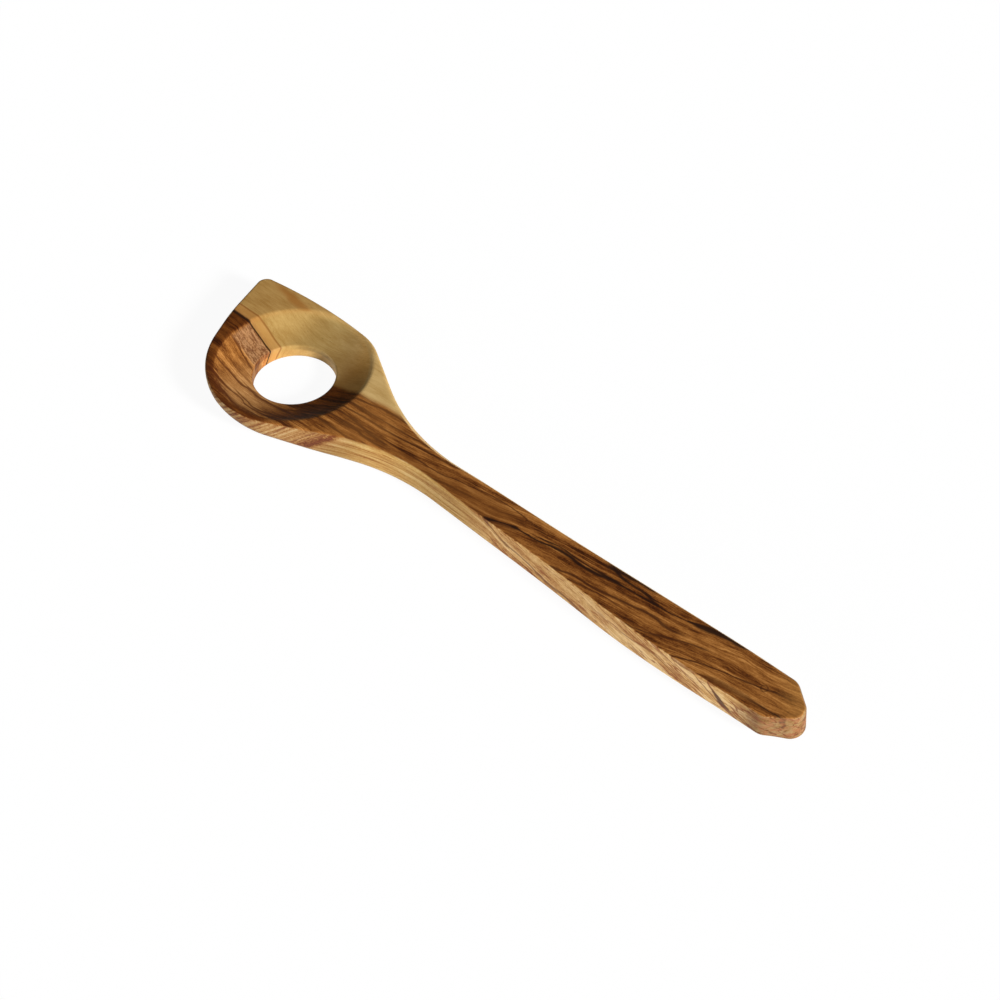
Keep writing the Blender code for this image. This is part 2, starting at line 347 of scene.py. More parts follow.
class Reading:
    """One value at a point of a surface. Arithmetic on it adds Math nodes."""

    def __init__(self, finish, socket):
        self.finish = finish
        self.socket = socket

    def math(self, operation, *others):
        values = dict(zip(("Value", "Value_001"), (self,) + others))
        return self.finish.value("ShaderNodeMath", {"operation": operation}, values)

    def __add__(self, other):
        return self.math("ADD", other)

    def __radd__(self, other):
        return self.math("ADD", other)

    def __sub__(self, other):
        return self.math("SUBTRACT", other)

    def __rsub__(self, other):
        values = {"Value": other, "Value_001": self}
        return self.finish.value("ShaderNodeMath", {"operation": "SUBTRACT"}, values)

    def __mul__(self, other):
        return self.math("MULTIPLY", other)

    def __rmul__(self, other):
        return self.math("MULTIPLY", other)

    def __truediv__(self, other):
        return self.math("DIVIDE", other)

    def __abs__(self):
        return self.math("ABSOLUTE")


class Finish:
    """The node tree of a material or of the room."""

    def __init__(self, owner):
        owner.use_nodes = True
        self.tree = owner.node_tree
        self.tree.nodes.clear()

    def node(self, kind, settings, values):
        """Any node: its settings are made first, then the values or links of its sockets."""
        made = self.tree.nodes.new(kind)
        for setting, value in settings.items():
            if setting == "stops":
                self.set_stops(made.color_ramp, value)
            elif setting == "bends":
                self.set_bends(made.mapping, value)
            else:
                setattr(made, setting, value)
        sockets = {socket.identifier: socket for socket in made.inputs}
        for name, value in values.items():
            source = value.socket if isinstance(value, Reading) else value
            if isinstance(source, bpy.types.NodeSocket):
                self.tree.links.new(source, sockets[name])
            else:
                sockets[name].default_value = source
        return made

    def set_stops(self, ramp, stops):
        while len(ramp.elements) < len(stops):
            ramp.elements.new(1.0)
        for element, (position, colour) in zip(ramp.elements, stops):
            element.position = position
            element.color = colour

    def set_bends(self, mapping, bends):
        points = mapping.curves[0].points
        points[0].location = bends[0]
        points[1].location = bends[-1]
        for bend in bends[1:-1]:
            points.new(*bend)
        for point in points:
            point.handle_type = "AUTO_CLAMPED"
        mapping.update()

    def value(self, kind, settings, values):
        return Reading(self, self.node(kind, settings, values).outputs[0])

    def fade(self, value, start, end):
        """0 before start, 1 after end, and an even S between them."""
        return self.value("ShaderNodeMapRange", {"interpolation_type": "SMOOTHSTEP"}, {
            "Value": value, "From Min": start, "From Max": end})

    def stretch(self, station, start, end, ease):
        """1 between two stations of the spoon, with eased ends."""
        begun = self.fade(station, start - ease, start + ease)
        return begun * self.fade(station, end + ease, end - ease)

    def path(self, station, points):
        """The side at which a line in the wood runs, at each station, in mm."""
        first, last = points[0][0], points[-1][0]
        low = min(side for place, side in points)
        span = max(side for place, side in points) + LEAST_SPAN - low
        bends = [((place - first) / (last - first), (side - low) / span) for place, side in points]
        share = self.value("ShaderNodeMapRange", {}, {
            "Value": station, "From Min": first, "From Max": last})
        return self.value("ShaderNodeFloatCurve", {"bends": bends}, {"Value": share}) * span + low

    def noise(self, place, detail, roughness):
        joined = self.node("ShaderNodeCombineXYZ", {}, dict(zip("XYZ", place))).outputs[0]
        return self.value("ShaderNodeTexNoise", {}, {
            "Vector": joined, "Scale": 1.0, "Detail": detail, "Roughness": roughness})

    def ramp(self, value, stops):
        return self.node("ShaderNodeValToRGB", {"stops": stops}, {"Fac": value}).outputs[0]

    def blend(self, share, under, over, kind="MIX"):
        made = self.node("ShaderNodeMix", {"data_type": "RGBA", "blend_type": kind}, {
            "Factor_Float": share, "A_Color": under, "B_Color": over})
        return [socket for socket in made.outputs if socket.identifier == "Result_Color"][0]

    def stain_and_shade(self, share, under, over):
        """The colour under it darkened by a tint, for stains and for painted shade: pale tints
        change little, dark ones much.
        """
        return self.blend(share, under, over, "MULTIPLY")


def tone(red, green, blue):
    """A colour as seen on a screen, from 0 to 255, turned into light."""
    def light(level):
        share = level / 255
        return share / 12.92 if share <= 0.04045 else ((share + 0.055) / 1.055) ** 2.4
    return (light(red), light(green), light(blue), 1.0)


# The plank's own directions, in mm: along the spoon from the dish's axis, aside from the centre
# line, and down from the flat top. Every line in the wood is given by such stations and sides.
MM = 1000.0
LEAST_SPAN = 0.01
GRAIN_LINE = (
    (-60, -18.0), (0, -18.0), (33, -17.0), (50, -16.0), (66, -14.4), (84, -11.0), (98, -8.4),
    (111, -7.0), (121, -4.0), (135, -1.4), (147, 0.4), (159, 1.6), (173, 3.4), (184, 4.5),
    (196, 6.0), (207, 8.6), (218, 10.6), (228, 12.0), (260, 17.0))
LEAN_LINE = ((-60, 0.55), (-8, 0.55), (14, 0.25), (45, 0.25), (90, 0.6), (115, 0.86), (260, 0.86))
NEAR_EDGE_LINE = (
    (-45, 8.0), (-36, -7.3), (-30, -17.6), (-24, -23.7), (-18, -27.9), (-12, -30.7), (-6, -32.4),
    (0, -33.0), (6, -32.5), (12, -30.9), (18, -28.1), (24, -25.0), (36, -18.8), (48, -13.3),
    (54, -11.1), (60, -9.5), (72, -7.3), (84, -6.7), (120, -7.4), (260, -8.0))
SAPWOOD_LINE = (
    (-60, 6.1), (-40, 6.3), (-31, 6.4), (-26, 7.1), (-10, 7.4), (15, 9.2), (32, 8.0), (48, 10.0),
    (66, 9.5), (110, 14.0), (260, 24.0))

oiled_wood = bpy.data.materials.new("olive_wood_oiled")
wood = Finish(oiled_wood)
plank_turn = Euler((0.0, math.atan(TOP_SLOPE), 0.0))
dish_centre = MM * (plank_turn.to_matrix() @ (dish_place + Vector((0.0, 0.0, HEAD_THICKNESS))))
plank = wood.node("ShaderNodeMapping", {}, {
    "Vector": wood.node("ShaderNodeTexCoord", {}, {}).outputs["Object"],
    "Location": -dish_centre,
    "Rotation": plank_turn,
    "Scale": (MM, MM, MM)}).outputs[0]
directions = wood.node("ShaderNodeSeparateXYZ", {}, {"Vector": plank}).outputs
along = Reading(wood, directions[0])
aside = Reading(wood, directions[1])
depth = 0.0 - Reading(wood, directions[2])

# Growth rings are sheets that lean as they go down. They wander over centimetres, ripple over
# millimetres, and are most restless toward the handle's end. The sapwood begins at one sheet.
wander = wood.noise((along * 0.035, aside * 0.11, depth * 0.11), 2.0, 0.5) - 0.5
ripple = wood.noise((along * 0.11, aside * 0.35 + 7.3, depth * 0.35), 2.0, 0.5) - 0.5
unrest = wood.fade(along, 150.0, 235.0) * 1.4 + 1.0
level = aside + wood.path(along, LEAN_LINE) * depth
ring = level - wood.path(along, GRAIN_LINE) + (wander * 1.6 + ripple * 0.7) * unrest
sapwood = level - wood.path(along, SAPWOOD_LINE) + ripple * 0.5

# Where the surface lies: in the dish, on the flat top, or below its edge, where the saw and the
# sanding drum laid the wood open and it stayed fresh and pale.
from_dish_side = aside - MM * DISH_SIDE
radial = (along * along + from_dish_side * from_dish_side).math("SQRT")
ball = MM * (DISH_RADIUS ** 2 + DISH_DEPTH ** 2) / (2 * DISH_DEPTH)
ball_depth = (ball * ball - radial * radial).math("MAXIMUM", 0.0).math("SQRT")
dish_depth = (ball_depth - (ball - MM * DISH_DEPTH)).math("MAXIMUM", 0.0)
below = depth - dish_depth
far_edge = wood.fade(aside, 1.0, 4.0) * wood.fade(radial, 33.5, 35.0)
# On the far edge the pale wood reaches higher up the rounding: partly pale wood, partly a painted
# highlight on that rim.
fresh = wood.fade(below * (far_edge * 2.5 + 1.0) + ripple * 0.3, 0.12, 0.45)
on_top = 1.0 - fresh
flat = 1.0 - wood.fade(depth, 0.15, 0.6)
in_dish = wood.fade(depth, 0.3, 1.2) * wood.fade(radial, 32.6, 31.2) * wood.fade(below, 2.5, 1.5)
near_side = fresh * wood.fade(aside, 0.0, -3.0)
from_near_edge = aside - wood.path(along, NEAR_EDGE_LINE)
by_near_edge = wood.fade(from_near_edge, 5.4, 3.4) * wood.fade(depth, 9.4, 8.2)

# The heartwood's figure: growth rings seen as broad bands, as lines some centimetres long, as hairs
# and as fibres. Each pattern is stretched along the plank and starts from a place of its own.
HEART_STOPS = (
    (0.00, tone(52, 22, 5)), (0.25, tone(92, 48, 14)), (0.50, tone(128, 78, 32)),
    (0.75, tone(152, 98, 45)), (1.00, tone(180, 124, 64)))
bands = wood.noise((along * 0.010, ring * 0.30, 3.1), 2.0, 0.5) - 0.5
lines = wood.noise((along * 0.016, ring * 1.15, depth * 0.02 + 23.0), 3.0, 0.6) - 0.5
hairs = wood.noise((along * 0.045, ring * 3.2, depth * 0.1 + 41.0), 2.0, 0.6)
fibres = wood.noise((along * 0.16, ring * 3.0, depth * 1.2 + 60.0), 2.0, 0.7) - 0.5
flecks = wood.noise((along * 0.40, ring * 2.2, depth * 2.2 + 40.0), 1.0, 0.5)
mottle = wood.noise((along * 0.09, aside * 0.25, depth * 0.25 + 80.0), 2.0, 0.5) - 0.5
patchy = wood.noise((along * 0.022, ring * 0.14, 51.0), 1.0, 0.5)
grit = wood.noise((along * 1.1, aside * 1.9, depth * 1.9), 1.0, 0.5) - 0.5
hairlines = wood.fade(hairs, 0.56, 0.66) - wood.fade(hairs, 0.44, 0.34)
detail = (hairs - 0.5) * 0.8 - hairlines * 0.10 + fibres * 1.3 + grit * 0.45
figure = bands * 1.7 + lines * (patchy * 3.4 - 0.5) + mottle * 0.9 + detail + 0.5
heart = wood.ramp(figure, HEART_STOPS)

# The paler wood below the edge: stripes that slant on the head's near side, long straight lines
# where it narrows, and the heartwood's own figure on the handle.
PALE_STOPS = (
    (0.00, tone(122, 66, 36)), (0.25, tone(166, 110, 60)), (0.50, tone(196, 148, 88)),
    (0.75, tone(213, 171, 110)), (1.00, tone(230, 195, 140)))
STRIPE_SLANT = 1.25
slant = along + depth * STRIPE_SLANT
slant_bands = wood.noise((slant * 0.13, aside * 0.02, 7.0), 2.0, 0.5) - 0.5
slant_lines = wood.noise((slant * 0.50, aside * 0.03, 17.0), 3.0, 0.65) - 0.5
slanting = slant_bands * 1.9 + slant_lines * 2.5 + detail * 0.9 + 0.5
inward = depth + from_near_edge * 0.5
long_lines = wood.noise((along * 0.02, inward * 0.55, 27.0), 3.0, 0.6) - 0.5
long_hairs = wood.noise((along * 0.06, inward * 2.4, 37.0), 2.0, 0.6)
long_hairlines = wood.fade(long_hairs, 0.58, 0.66)
straight = long_lines * 2.2 + (long_hairs - 0.5) * 1.7 + grit * 0.5 - long_hairlines * 0.22 + 0.64
on_head = wood.fade(slant, 50.0, 38.0)
on_handle = wood.fade(along, 94.0, 122.0)
on_grip = wood.fade(along, 140.0, 180.0)
slanting_share = on_head * by_near_edge
straight_share = (1.0 - on_head) * (1.0 - on_handle)
figure_share = 1.0 - slanting_share - straight_share
pale_tone = (slanting * slanting_share + straight * straight_share
             + (figure * 1.1 + on_grip * 0.16 + 0.04) * figure_share)
pale = wood.ramp(pale_tone, PALE_STOPS)

# The heartwood's colour. The dish's near wall was turned across the fibres and is lighter. A dark
# band just inside the dish's near rim is darker grain and painted shade, and the flat top by the
# tip and along the near rim is darkened as painted shade, where the low light leaves it dim.
LIGHT_HEART = tone(188, 130, 76)
FLAT_SHADE_TINT = tone(172, 150, 122)
HEAD_BROWN = tone(78, 36, 12)
turned = wood.blend(wood.fade(along, -24.0, -4.0) * 0.52, heart, wood.blend(0.5, pale, LIGHT_HEART))
colour = wood.blend(in_dish * wood.fade(along, 16.0, -4.0), heart, turned)
near_rim = wood.fade(aside, -23.0, -27.0) * wood.fade(along, 30.0, 10.0)
# Painted shade: the flat top is darkened by the tip and along the near rim.
painted_flat_shade = wood.fade(along, -6.0, -24.0).math("MAXIMUM", near_rim) * flat
colour = wood.stain_and_shade(painted_flat_shade, colour, FLAT_SHADE_TINT)
# Painted shade mixed with darker grain: a dark band just inside the dish's near rim.
rim_shade_and_grain = (wood.fade(radial, 27.5, 30.5) * wood.fade(aside, -15.0, -22.0)
          * wood.stretch(along, -24.0, 27.0, 4.0) * wood.fade(figure, 0.75, 0.45))
colour = wood.blend(rim_shade_and_grain * 0.75, colour, HEAD_BROWN)
colour = wood.blend(fresh, colour, pale)

# Short red-brown dashes on the handle's sides, and the burr, a patch of curled grain in the dish.
DASH_BROWN = tone(148, 82, 48)
BURR_SHEET = -5.1
BURR_HALF = 5.1
BURR_DARK = tone(106, 66, 40)
BURR_LIGHT = tone(164, 122, 82)
dashes = wood.noise((along * 0.20, level * 0.9, depth * 0.5 + 90.0), 2.0, 0.6)
dashed = wood.fade(dashes, 0.58, 0.68) * wood.fade(along, 90.0, 130.0) * fresh
colour = wood.blend(dashed * 0.65, colour, DASH_BROWN)
burr_sheets = wood.fade(abs(sapwood - BURR_SHEET), BURR_HALF, BURR_HALF - 0.7)
burr = burr_sheets * wood.fade(along, -10.0, -14.0) * in_dish
curls = wood.noise((along * 0.30, level * 1.3, 11.0), 2.0, 0.8)
burr_wood = wood.blend(wood.fade(curls + grit * 0.3, 0.38, 0.60), BURR_DARK, BURR_LIGHT)
colour = wood.blend(burr * 0.8, colour, burr_wood)

nearly_black = wood.blend(fresh, tone(34, 16, 8), tone(102, 50, 28))
dark_brown = wood.blend(fresh, tone(60, 28, 9), tone(136, 82, 46))
thickness = wood.noise((along * 0.09, ring * 0.12, 31.0), 2.0, 0.6) * 2.4 - 0.2


def streak(colour, sheet, points, width, strength, line_colour):
    """Paints one dark line of the grain over the colour so far, and lets it fade at both ends."""
    offset = abs(sheet - wood.path(along, points) + ripple * 0.5 + fibres * 0.8)
    mask = wood.fade(offset / (thickness * width), 1.0, 0.3) * strength
    mask = mask * wood.stretch(along, points[0][0], points[-1][0], 3.0)
    return wood.blend(mask, colour, line_colour)


# The head's lines, which run on from the dish's walls over the flare into the neck.
HEAD_LINES = (
    ((-31, -3.3), (-27, -3.1), (-23, -3.6), (-19, -4.1), (-14, -4.6)),
    ((-28, -15.9), (-21, -15.5), (-16, -14.8), (-10, -15.0), (-6, -13.9), (-1, -14.6), (5, -14.9),
     (17, -15.4)),
    ((-24, -21.2), (-17, -22.4), (-11, -22.5), (-5, -22.1), (2, -24.2), (9, -24.5), (15, -23.6)),
    ((-14, -25.6), (-6, -27.2), (-1, -28.8), (5, -29.8)),
    ((-8, -20.0), (0, -21.5), (6, -23.0), (11, -22.2), (17, -20.6)),
    ((12, -15.0), (20, -10.8), (28, -9.1)),
    ((14, -9.4), (21, -3.9), (30, -2.4)),
    ((16, 1.9), (25, 3.1), (32, 3.0)))
FLARE_LINES = (
    ((30, 4.2), (39, 6.3), (47, 8.0), (55, 8.7), (64, 8.1)),
    ((28, 1.8), (33, 2.0), (40, 2.6), (48, 3.2), (58, 4.0), (68, 4.8), (76, 5.9), (86, 7.2)),
    ((28, -1.6), (33, -1.4), (42, -0.4), (50, 0.2), (59, 0.8), (70, 2.7), (78, 3.4), (88, 4.8)),
    ((30, -4.6), (39, -4.1), (45, -4.6), (51, -5.1), (60, -5.2)),
    ((28, -7.9), (38, -7.1), (44, -7.0), (50, -7.7), (60, -6.6)),
    ((27, -12.4), (37, -12.5), (49, -12.1)),
    ((12, -24.6), (19, -24.4), (22, -23.6), (28, -23.6)))
for points in HEAD_LINES:
    colour = streak(colour, level, points, 0.9, on_top * 0.8, HEAD_BROWN)
for points in FLARE_LINES:
    colour = streak(colour, aside + depth * 0.2, points, 0.7, on_top * 0.75, dark_brown)
FLARE_BROWN = tone(170, 112, 54)
flare = wood.stretch(along, 36.0, 58.0, 7.0) * on_top
colour = wood.blend(flare * 0.2, colour, FLARE_BROWN)

# The neck: a calm brown field below a thin line, and the black line that starts at the near edge in
# a dark wedge and crosses the whole handle.
NECK_LINE = (
    (60, -3.6), (64.5, -3.2), (71, -2.6), (83.5, -2.0), (91, 0.0), (97, 1.1), (102, 2.4),
    (108, 3.3), (118, 3.7), (126, 3.2))
BLACK_LINE = (
    (108, -8.4), (111, -7.2), (116, -5.1), (120, -3.4), (123.2, -2.6), (128, -2.3), (132, -1.9),
    (136, -1.2), (140, -0.2), (147, 0.6), (152, 0.2), (156, 0.5), (160, 1.1), (164, 2.1),
    (173, 3.2), (177, 3.6), (185, 4.5), (190, 4.9), (195, 5.8), (200, 7.0), (204, 8.0),
    (208, 9.1), (213, 10.2), (221, 11.0), (226, 12))
BLACK_TWIN_LINE = (
    (132, -0.5), (138, 0.9), (144, 1.8), (150, 1.6), (156, 1.9), (162, 2.6), (170, 3.6))
HANDLE_LEAN = 0.86
CALM_BROWN = tone(112, 66, 25)
WEDGE_BROWN = tone(62, 30, 12)
calm = wood.fade(aside - wood.path(along, NECK_LINE), 0.0, -1.0)
calm = calm * wood.stretch(along, 64.0, 122.0, 8.0) * on_top
colour = wood.blend(calm * 0.5, colour, CALM_BROWN)
colour = streak(colour, aside + depth * 0.5, NECK_LINE, 0.45, on_top * 0.8, dark_brown)
crossing = aside + depth * HANDLE_LEAN
black_width = (
    wood.stretch(along, 109.0, 115.0, 2.0) * 0.6 + wood.stretch(along, 122.0, 124.5, 1.0) * 0.6
    + wood.stretch(along, 136.0, 172.0, 6.0) * 0.5 + wood.stretch(along, 201.0, 219.0, 5.0) * 1.5
    + 0.5)
from_black = crossing - wood.path(along, BLACK_LINE)
wedge = wood.fade(from_black, -2.6, -0.6) * wood.fade(from_black, 0.2, 0.0)
wedge = wedge * wood.stretch(along, 112.0, 124.0, 2.5) * on_top
colour = wood.blend(wedge * 0.75, colour, WEDGE_BROWN)
colour = streak(colour, crossing, BLACK_LINE, black_width, 0.95 - fresh * 0.25, nearly_black)
colour = streak(colour, crossing, BLACK_TWIN_LINE, 0.45, on_top * 0.85, nearly_black)

# The grip's lines on top, which leave the near edge one after another and cross toward the far one,
# and a small eye near the end.
GRIP_LINES = (
    (((142, -8.4), (145, -7.7), (150, -6.6), (154, -5.3), (163, -4.7), (171, -3.2), (180, -1.5),
      (184, -0.6), (189, -0.2), (193, -0.9), (200, 0.4)), 0.85, 0.8),
    (((152, -8.0), (158, -6.9), (163, -6.3), (168, -5.3), (176, -4.9)), 0.5, 0.7),
    (((179, -9.8), (186, -8.6), (190, -7.5), (195, -5.2), (199, -3.4), (204, -1.3), (212, 1.2)),
     0.6, 0.75),
    (((202, -9.6), (207, -7.7), (212, -5.4), (217, -3.8), (221, -2.7), (226, -1.5), (231, -0.2),
      (235, 0.9), (240, 2.5), (244, 3.2)), 0.6, 0.85))
FAR_LINES = (
    (((160, 7.2), (163, 7.7), (166, 8.1), (170, 8.4), (174, 8.9), (181, 9.4)), 1.9),
    (((162, 7.4), (166, 6.3), (169, 5.8), (173, 5.7), (178, 5.9), (184, 5.2)), 0.9))
END_LINE = (
    (216, -9.2), (223, -7.2), (228, -6.6), (233, -6.1), (239, -5.6), (243, -5.3), (247, -4.7),
    (256, -4.7))
EYE_STATION = 235.6
EYE_SIDE = 1.3
EYE_RADIUS = 1.3
for points, width, strength in GRIP_LINES:
    colour = streak(colour, crossing, points, width, on_top * strength, dark_brown)
for points, width in FAR_LINES:
    colour = streak(colour, aside + depth * 0.4, points, width, on_top * 0.9, nearly_black)
colour = streak(colour, aside, END_LINE, 1.5, on_top * 0.55, dark_brown)
colour = streak(
    colour, aside, END_LINE, 0.4, on_top * wood.fade(along, 230.0, 242.0) * 0.9, nearly_black)
from_eye = ((along - EYE_STATION) * (along - EYE_STATION)
            + (aside - EYE_SIDE) * (aside - EYE_SIDE)).math("SQRT")
eye = wood.fade(abs(from_eye - EYE_RADIUS) / 0.45, 1.0, 0.2) * on_top
colour = wood.blend(eye * 0.6, colour, dark_brown)

# Marks that show below the top's edge only: slanting strokes on the head, two lines, a steep dark
# mark and fine veins on the grip, and a curl on the end.
STROKE_PLACES = (24.6, 34.7, 38.0, 41.0)
STROKE_BROWN = tone(138, 76, 46)
LOW_SIDE_LINE = (
    (180, -4.6), (184, -4.7), (194, -5.8), (199, -5.0), (204, -3.6), (208, -2.3), (214, -1.0))
HIGH_SIDE_LINE = ((202, -9.6), (207, -8.9), (212, -9.2), (216, -7.4), (221, -5.0), (226, -2.4))
STEEP_MARK_STATION = 218.9
STEEP_MARK_SLANT = 1.12
STEEP_MARK_TOP = tone(132, 74, 44)
STEEP_MARK_FOOT = tone(72, 36, 36)
VEIN_BROWN = tone(134, 64, 34)
CURL_SIDE = -4.4
CURL_BROWN = tone(112, 64, 52)
for place in STROKE_PLACES:
    offset = abs(slant - place + ripple * 3.0 + fibres * 2.0)
    stroke = wood.fade(offset / thickness, 1.0, 0.2) * fresh * by_near_edge
    colour = wood.blend(stroke * 0.7, colour, STROKE_BROWN)
colour = streak(colour, crossing, LOW_SIDE_LINE, 0.5, fresh * 0.7, dark_brown)
colour = streak(colour, crossing, HIGH_SIDE_LINE, 0.5, fresh * 0.8, dark_brown)
from_steep = abs(along - depth * STEEP_MARK_SLANT - STEEP_MARK_STATION + ripple * 2.5)
from_steep = from_steep / (depth * 0.33 + 0.3)
steep_mark = (wood.fade(from_steep, 1.0, 0.5) * wood.fade(aside, 0.0, -2.0)
              * wood.fade(depth, 9.5, 7.5) * fresh)
steep_colour = wood.blend(wood.fade(depth, 1.5, 4.5), STEEP_MARK_TOP, STEEP_MARK_FOOT)
colour = wood.blend(steep_mark * 0.85, colour, steep_colour)
vein_field = wood.noise(
    (along * 0.035, depth * 0.26 - along * 0.08, aside * 0.12 + 71.0), 2.0, 0.55)
veins = wood.fade(abs(vein_field - 0.5) + fibres * 0.03, 0.030, 0.008)
veins = veins * wood.fade(along, 140.0, 205.0) * fresh
colour = wood.blend(veins * 0.75, colour, VEIN_BROWN)
curl = (wood.fade(abs(aside - CURL_SIDE + ripple * 3.0) / 0.7, 1.0, 0.2)
        * wood.fade(along, 246.0, 247.5) * wood.fade(depth, 6.5, 4.5) * fresh)
colour = wood.blend(curl * 0.7, colour, CURL_BROWN)

# The far edge is painted pale all along, as a highlight on its rounding.
FAR_RIM_HIGHLIGHT = tone(226, 192, 136)
far_rim_highlight = far_edge * wood.fade(below, 0.02, 0.12) * wood.fade(below, 0.9, 0.4)
colour = wood.blend(far_rim_highlight * 0.5, colour, FAR_RIM_HIGHLIGHT)

# Sapwood, on the far side of its border sheet. On the head the border is a black line with a brown
# fringe, and a second, brown line runs beside it. Toward the neck the border turns soft.
SAP_STOPS = ((0.10, tone(148, 109, 54)), (0.50, tone(176, 140, 82)), (0.90, tone(204, 172, 114)))
SAP_TAN = tone(170, 118, 60)
SMUDGE_SIDE = 24.4
SMUDGE_BROWN = tone(148, 96, 40)
BORDER_BLACK = tone(38, 18, 8)
FRINGE_BROWN = tone(134, 82, 44)
SECOND_LINE_BROWN = tone(128, 76, 30)
SECOND_LINE_SIDE = 4.6
# The sapwood is darker toward the tip: painted shade, standing in for the lower light there.
sap_tone = (bands * 0.3 + lines * 0.3 + detail * 0.35 + mottle * 0.6
            + wood.fade(along, -42.0, 34.0) * 0.45 + 0.25)
sap = wood.ramp(sap_tone, SAP_STOPS)
softness = wood.fade(along, 5.0, 30.0) * 1.4 + 0.25
border = wood.fade(sapwood / softness, -1.0, 1.0)
tan_band = wood.fade(sapwood, 4.9, 3.9) * wood.fade(along, 0.0, -14.0)
sap = wood.blend(tan_band * 0.6, sap, SAP_TAN)
from_smudge = abs(aside + along * 0.12 - SMUDGE_SIDE + ripple * 4.0 + fibres * 2.0)
smudge = wood.fade(from_smudge, 3.4, 0.2) * wood.stretch(along, -38.0, -17.0, 6.0) * flat
sap = wood.blend(smudge * 0.75, sap, SMUDGE_BROWN)
colour = wood.blend(border, colour, sap)
sharp_part = wood.fade(along, -5.0, -8.0)
border_line = wood.fade(abs(sapwood) / (flat * 0.5 + 0.55), 1.0, 0.3) * sharp_part
colour = wood.blend(border_line * 0.95, colour, BORDER_BLACK)
fringe = wood.fade(sapwood + fibres * 2.0, 2.2, 0.6) * wood.fade(sapwood, 0.3, 0.8) * sharp_part
colour = wood.blend(fringe * 0.45, colour, FRINGE_BROWN)
second_line = wood.fade(abs(sapwood - SECOND_LINE_SIDE), 0.60, 0.12) * sharp_part
colour = wood.blend(second_line * 0.75, colour, SECOND_LINE_BROWN)
pores = wood.fade(flecks, 0.70, 0.78)
colour = wood.blend(pores * 0.3, colour, dark_brown)

# How the cut shows in the colour, with painted light and shade. The dish's wall by the neck faces
# away from the key lamp and is darkened as painted shade, least by its rim. End grain drank more
# oil: the near side where the head narrows, and the handle's end. The hole's wall is sawn; its
# sapwood toward the neck is brightened as painted light. The dish's far wall is darkened as
# painted shade.
NECK_WALL_SHADE_BY_HOLE = tone(196, 170, 130)
NECK_WALL_SHADE_BY_RIM = tone(246, 226, 190)
NECK_WALL_SHADE_IN_SAP = tone(192, 156, 84)
HOLE_PAINTED_LIGHT = tone(252, 216, 152)
HOLE_HEART_STAIN = tone(208, 180, 152)
DISH_SAP_STAIN = tone(248, 254, 255)
HANDLE_END_STAIN = tone(156, 148, 139)
NECK_SIDE_STAIN = tone(224, 222, 204)
END_GRAIN_BROWN = tone(136, 84, 54)
HEAD_SIDE_STAIN = tone(180, 174, 172)
FAR_WALL_SHADE = tone(224, 222, 218)
END_TOP_LIGHT = tone(186, 136, 70)
# Painted shade on the dish's wall by the neck: deepest by the hole, lightest by the rim.
neck_wall_heart_shade = wood.blend(wood.fade(radial, 20.0, 31.0), NECK_WALL_SHADE_BY_HOLE, NECK_WALL_SHADE_BY_RIM)
neck_wall_painted_shade = wood.blend(border, NECK_WALL_SHADE_IN_SAP, neck_wall_heart_shade)
colour = wood.stain_and_shade(wood.fade(along, 6.0, 20.0) * in_dish * 0.9, colour, neck_wall_painted_shade)
hole_wall = wood.fade(radial, 17.2, 16.8)
# Painted light: the hole's sapwood wall toward the neck is brightened, as if its lip caught the
# lamps.
painted_hole_light = hole_wall * border * wood.fade(along, -6.0, 8.0)
colour = wood.blend(painted_hole_light * 0.8, colour, HOLE_PAINTED_LIGHT)
colour = wood.stain_and_shade(hole_wall * (1.0 - border), colour, HOLE_HEART_STAIN)
colour = wood.stain_and_shade(in_dish * border * wood.fade(along, 12.0, -6.0), colour, DISH_SAP_STAIN)
colour = wood.stain_and_shade(wood.fade(along, 228.0, 244.0) * fresh, colour, HANDLE_END_STAIN)
neck_side = wood.fade(slant, 40.0, 52.0) * wood.fade(along, 122.0, 94.0) * near_side
colour = wood.stain_and_shade(neck_side, colour, NECK_SIDE_STAIN)
end_grain = wood.noise((along * 0.35, aside * 0.5 + 3.0, depth * 0.8), 3.0, 0.65)
end_marks = wood.fade(end_grain, 0.56, 0.42) * wood.fade(along, 228.0, 240.0) * fresh
colour = wood.blend(end_marks * 0.6, colour, END_GRAIN_BROWN)
head_side = wood.fade(along, 62.0, 36.0) * near_side
colour = wood.stain_and_shade(head_side * 0.9, colour, HEAD_SIDE_STAIN)
# Painted shade: the dish's far wall, away from its rim, is darkened.
far_wall_painted_shade = (in_dish * wood.stretch(along, -14.0, 12.0, 6.0) * wood.fade(aside, 8.0, 16.0)
            * wood.fade(radial, 31.0, 28.5))
colour = wood.stain_and_shade(far_wall_painted_shade, colour, FAR_WALL_SHADE)
end_top = wood.fade(along + aside * 0.8, 238.0, 256.0) * on_top
colour = wood.blend(end_top * 0.3, colour, END_TOP_LIGHT)

# The surface: a satin film of oil over open pores, fibres and hairs that can just be felt.
SATIN_ROUGHNESS = 0.55
GLOSS = 0.12
FIBRE_RELIEF = 0.00006
RELIEF_STRENGTH = 0.35
rough = lines * 0.2 + pores * 0.1 + SATIN_ROUGHNESS
height = (hairs - 0.5) * 0.5 + fibres * 0.8 - pores * 0.6
bump = wood.node("ShaderNodeBump", {}, {
    "Height": height, "Strength": RELIEF_STRENGTH, "Distance": FIBRE_RELIEF}).outputs[0]
shader = wood.node("ShaderNodeBsdfPrincipled", {}, {
    "Base Color": colour,
    "Roughness": rough,
    "Normal": bump,
    "Specular IOR Level": GLOSS}).outputs[0]
wood.node("ShaderNodeOutputMaterial", {}, {"Surface": shader})

spoon.data.materials.clear()
spoon.data.materials.append(oiled_wood)
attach(spoon, "root")
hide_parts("spoon")


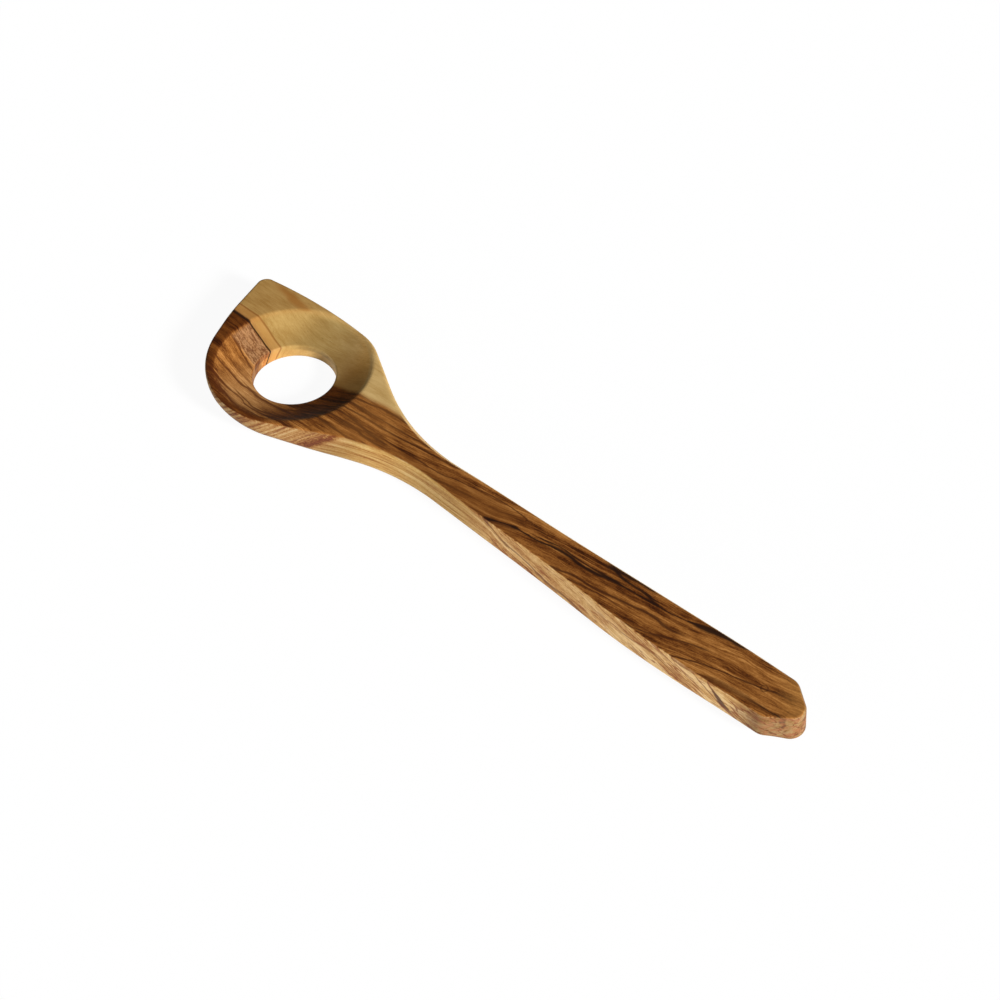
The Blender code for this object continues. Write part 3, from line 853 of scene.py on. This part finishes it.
# Table top. A plain white sheet under the spoon, which shows white with only the spoon's own soft
# shadow on it.
TABLE_HALF = 3.0
SHADOW_SHARE = 0.06
WHITE = (1.0, 1.0, 1.0, 1.0)

table_shape = bmesh.new()
bmesh.ops.create_grid(table_shape, x_segments=1, y_segments=1, size=TABLE_HALF)
table = object_from(table_shape, "table_top")
white_paper = bpy.data.materials.new("white_paper")
paper = Finish(white_paper)
ray = paper.node("ShaderNodeLightPath", {}, {}).outputs
seen = Reading(paper, ray["Is Camera Ray"])
mirrored = Reading(paper, ray["Is Glossy Ray"])
through = Reading(paper, ray["Is Transmission Ray"])
glow = seen.math("MAXIMUM", mirrored).math("MAXIMUM", through) * (1.0 - SHADOW_SHARE)
matt = paper.node("ShaderNodeBsdfDiffuse", {}, {"Color": WHITE}).outputs[0]
bright = paper.node("ShaderNodeEmission", {}, {"Color": WHITE, "Strength": 1.0}).outputs[0]
mixed = paper.node("ShaderNodeMixShader", {}, {
    "Fac": glow, "Shader": matt, "Shader_001": bright}).outputs[0]
paper.node("ShaderNodeOutputMaterial", {}, {"Surface": mixed})
table.data.materials.append(white_paper)


# Studio light. A strong low lamp beyond the handle's end, a weaker one facing the near side, and a
# pale room that fills the shadows and shows white behind everything.
KEY_HEIGHT_ANGLE = math.radians(24.0)
KEY_SIDE_ANGLE = math.radians(0.0)
KEY_STRENGTH = 6.4
KEY_SPREAD = math.radians(11.0)
FRONT_HEIGHT_ANGLE = math.radians(3.0)
FRONT_SIDE_ANGLE = math.radians(-90.0)
FRONT_STRENGTH = 1.7
FRONT_SPREAD = math.radians(40.0)
ROOM_STRENGTH = 0.10


def sun_lamp(name, height_angle, side_angle, strength, spread):
    """A lamp so far off that its light comes from one direction, softened by its spread."""
    lamp = bpy.data.objects.new(name, bpy.data.lights.new(name, "SUN"))
    lamp.data.energy = strength
    lamp.data.angle = spread
    toward = Vector((
        math.cos(height_angle) * math.cos(side_angle),
        math.cos(height_angle) * math.sin(side_angle),
        math.sin(height_angle)))
    lamp.rotation_euler = toward.to_track_quat("Z", "Y").to_euler()
    bpy.context.scene.collection.objects.link(lamp)


sun_lamp("key_lamp", KEY_HEIGHT_ANGLE, KEY_SIDE_ANGLE, KEY_STRENGTH, KEY_SPREAD)
sun_lamp("front_lamp", FRONT_HEIGHT_ANGLE, FRONT_SIDE_ANGLE, FRONT_STRENGTH, FRONT_SPREAD)

room = bpy.data.worlds.new("pale_room")
bpy.context.scene.world = room
walls = Finish(room)
in_view = walls.node("ShaderNodeLightPath", {}, {}).outputs["Is Camera Ray"]
fill = walls.node("ShaderNodeBackground", {}, {
    "Color": WHITE, "Strength": ROOM_STRENGTH}).outputs[0]
backdrop = walls.node("ShaderNodeBackground", {}, {"Color": WHITE, "Strength": 1.0}).outputs[0]
either = walls.node("ShaderNodeMixShader", {}, {
    "Fac": in_view, "Shader": fill, "Shader_001": backdrop}).outputs[0]
walls.node("ShaderNodeOutputWorld", {}, {"Surface": either})


# Camera. It looks down on the near side at 47 degrees with the spoon turned by 43, and its upright
# is square to the flat top, which gives the picture's slight roll.
CAMERA_PLACE = dish_place + Vector((0.44761, -0.36353, 0.56086))
CAMERA_TARGET = dish_place + Vector((0.11005, 0.00368, 0.01322))
CAMERA_LENS = 72.0
CAMERA_FILM = 36.0

camera = bpy.data.objects.new("camera", bpy.data.cameras.new("camera"))
camera.data.lens = CAMERA_LENS
camera.data.sensor_width = CAMERA_FILM
backward = (CAMERA_PLACE - CAMERA_TARGET).normalized()
rightward = Vector((-TOP_SLOPE, 0.0, 1.0)).cross(backward).normalized()
upward = backward.cross(rightward)
turned_to = Matrix((rightward, upward, backward)).transposed().to_4x4()
camera.matrix_world = Matrix.Translation(CAMERA_PLACE) @ turned_to
bpy.context.scene.collection.objects.link(camera)
bpy.context.scene.camera = camera
bpy.context.scene.view_settings.view_transform = "Standard"
